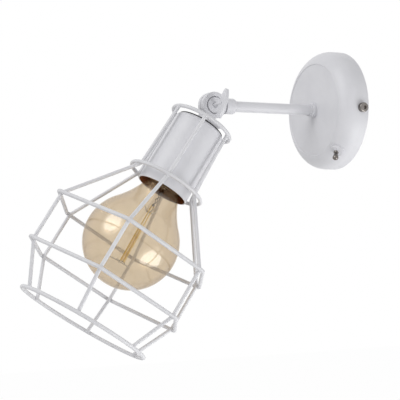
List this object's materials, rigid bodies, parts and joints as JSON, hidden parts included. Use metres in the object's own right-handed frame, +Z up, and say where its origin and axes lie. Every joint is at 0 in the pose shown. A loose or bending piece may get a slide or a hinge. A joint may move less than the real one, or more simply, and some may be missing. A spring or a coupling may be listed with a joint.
{
  "type": "cage wall light",
  "caption": "Wall light with a round plate, a short arm, a tilting knuckle with a wing screw, and a wire cage round a globe bulb in a deep socket cup.",
  "frame": {"origin": "centre of the wall bracket's back face, midway between its two slots, in the wall's plane", "axes": "+Y into the wall along the wall screws, +Z up, +X to the right seen from the room; the arm runs along -Y"},
  "size_m": [0.1634, 0.3425, 0.3134],
  "materials": {
    "white_coat": "satin white powder coat",
    "white_wire": "satin white powder coat on welded wire",
    "dark_nickel": "dark nickel plate",
    "zinc_steel": "bright zinc plate",
    "brass": "plain brass",
    "black_plastic": "moulded matt black",
    "white_plastic": "moulded, slightly cloudy",
    "rubber": "matt",
    "ceramic": "cream porcelain",
    "amber_glass": "clear amber tint",
    "clear_glass": "clear",
    "insulator_glass": "black vitrite",
    "filament_wire": "carbonised wire"
  },
  "bodies": {
    "wall_base": {"canopy": "white_coat", "wall_bracket": "zinc_steel", "side_screws": "dark_nickel", "earth_screw": "brass", "terminal_block": "white_plastic", "terminal_screws": "zinc_steel", "switch_body": "black_plastic", "switch_bushing": "dark_nickel", "switch_nut": "white_coat", "arm_base_collar": "white_coat", "arm_lock_washer": "zinc_steel", "arm_lock_nut": "zinc_steel", "arm_tube": "white_coat", "arm_knuckle": "white_coat", "friction_washer": "black_plastic"},
    "head": {"head_knuckle": "white_coat", "cage_top_ring": "white_wire", "cage_neck_ring": "white_wire", "cage_shoulder_ring": "white_wire", "cage_waist_ring": "white_wire", "cage_mouth_ring": "white_wire", "cage_rib_1": "white_wire", "cage_rib_2": "white_wire", "cage_rib_3": "white_wire", "cage_rib_4": "white_wire", "cage_rib_5": "white_wire", "cage_rib_6": "white_wire", "cage_strap": "white_wire", "cup_gasket": "rubber", "socket_cup": "white_coat", "cup_lock_nut": "zinc_steel", "head_nipple": "zinc_steel", "holder_cap": "black_plastic", "holder_shell": "black_plastic", "holder_insert": "ceramic", "screw_shell": "brass", "centre_contact": "brass"},
    "bulb": {"bulb_cap": "brass", "bulb_insulator": "insulator_glass", "bulb_contact": "zinc_steel", "bulb_glass": "amber_glass", "bulb_stem": "clear_glass", "filament": "filament_wire", "filament_supports": "zinc_steel"},
    "wing_screw": {"wing_screw": "white_coat"},
    "switch_lever": {"switch_lever": "dark_nickel"}
  },
  "joints": [
    {"name": "head_tilt", "type": "hinge", "parent": "wall_base", "child": "head", "pos_m": [0, -0.1465, 0], "axis": [1, 0, 0], "range_deg": [-147, 33]},
    {"name": "wing_screw_turn", "type": "hinge", "parent": "wall_base", "child": "wing_screw", "pos_m": [0, -0.1465, 0], "axis": [1, 0, 0], "range_deg": [0, 360]},
    {"name": "switch_throw", "type": "hinge", "parent": "wall_base", "child": "switch_lever", "pos_m": [0.03883, -0.02398, -0.04628], "axis": [0.766, 0, 0.6428], "range_deg": [-24, 0]},
    {"name": "bulb_turn", "type": "hinge", "parent": "head", "child": "bulb", "pos_m": [0, -0.1465, 0], "axis": [0, -0.5446, -0.8387], "range_deg": [0, 360]}
  ]
}
